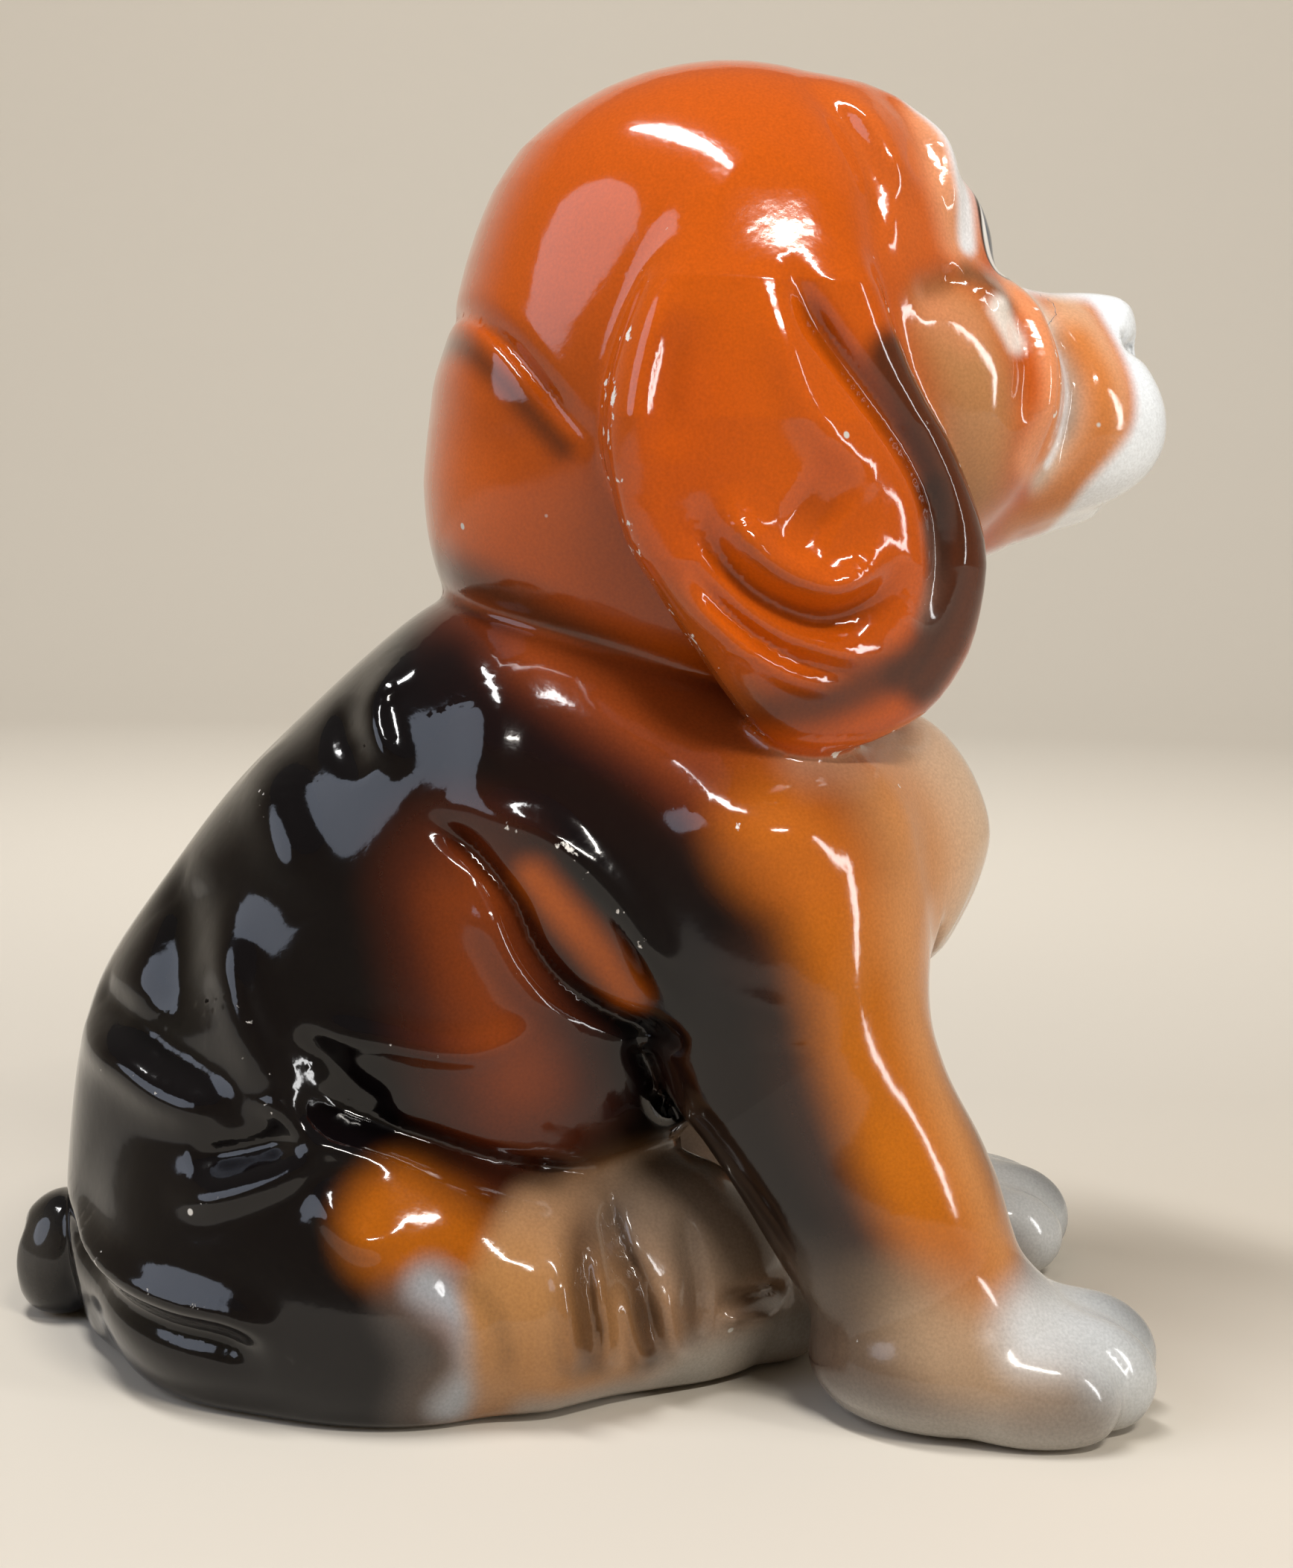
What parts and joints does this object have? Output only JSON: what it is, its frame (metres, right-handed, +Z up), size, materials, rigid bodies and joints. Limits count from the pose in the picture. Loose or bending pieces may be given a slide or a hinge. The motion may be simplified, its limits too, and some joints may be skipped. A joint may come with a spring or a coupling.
{
  "type": "ceramic dog figurine",
  "caption": "Glazed ceramic figurine of a seated, long-eared puppy, slip cast in sections and stuck together, with a flat base to stand on.",
  "frame": {"origin": "middle of the figure's bounding box at the resting plane", "axes": "+Z up, -Y towards the dog's nose, +X towards the dog's left side"},
  "size_m": [0.089, 0.14, 0.1545],
  "materials": {
    "body_glaze": "gloss",
    "head_glaze": "gloss",
    "ear_glaze": "gloss",
    "leg_glaze": "gloss",
    "foot_glaze": "gloss",
    "tail_glaze": "gloss"
  },
  "bodies": {
    "root": {"body_casting": "body_glaze", "head_casting": "head_glaze", "ear_left": "ear_glaze", "ear_right": "ear_glaze", "foreleg_left": "leg_glaze", "foreleg_right": "leg_glaze", "hind_foot_left": "foot_glaze", "hind_foot_right": "foot_glaze", "tail": "tail_glaze"}
  },
  "joints": []
}
